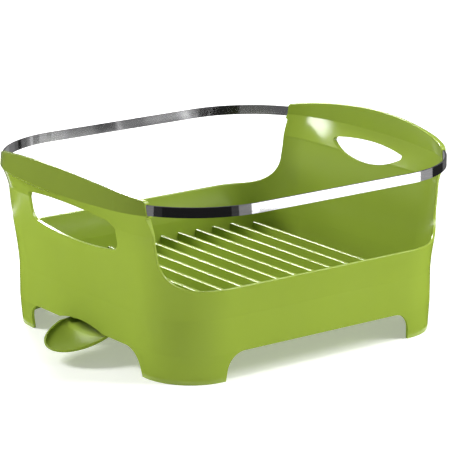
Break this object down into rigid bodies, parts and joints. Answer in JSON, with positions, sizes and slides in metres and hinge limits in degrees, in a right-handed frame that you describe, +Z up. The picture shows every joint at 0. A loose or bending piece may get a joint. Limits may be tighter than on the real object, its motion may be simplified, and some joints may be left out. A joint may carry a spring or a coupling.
{
  "type": "dish drying rack",
  "caption": "Moulded dish drying rack: ribbed basin on corner legs, tall ends with grip openings, bright strip rails along the sides and a drip scoop at one end.",
  "frame": {"origin": "middle of the bounding box, on the surface that the legs stand on", "axes": "+Z up, +X along the length away from the drip scoop, +Y towards the rear long side"},
  "size_m": [0.4276, 0.3614, 0.1947],
  "materials": {
    "shell": "gloss",
    "strip": "polished",
    "scoop": "gloss"
  },
  "bodies": {
    "rack": {"tub": "shell", "front_rail": "strip", "rear_rail": "strip"},
    "scoop": {"spout": "scoop"}
  },
  "joints": [
    {"name": "scoop_swing", "type": "hinge", "parent": "rack", "child": "scoop", "pos_m": [-0.13958, 0, 0.0284], "axis": [0, 0, 1], "range_deg": [-34, 10]}
  ]
}
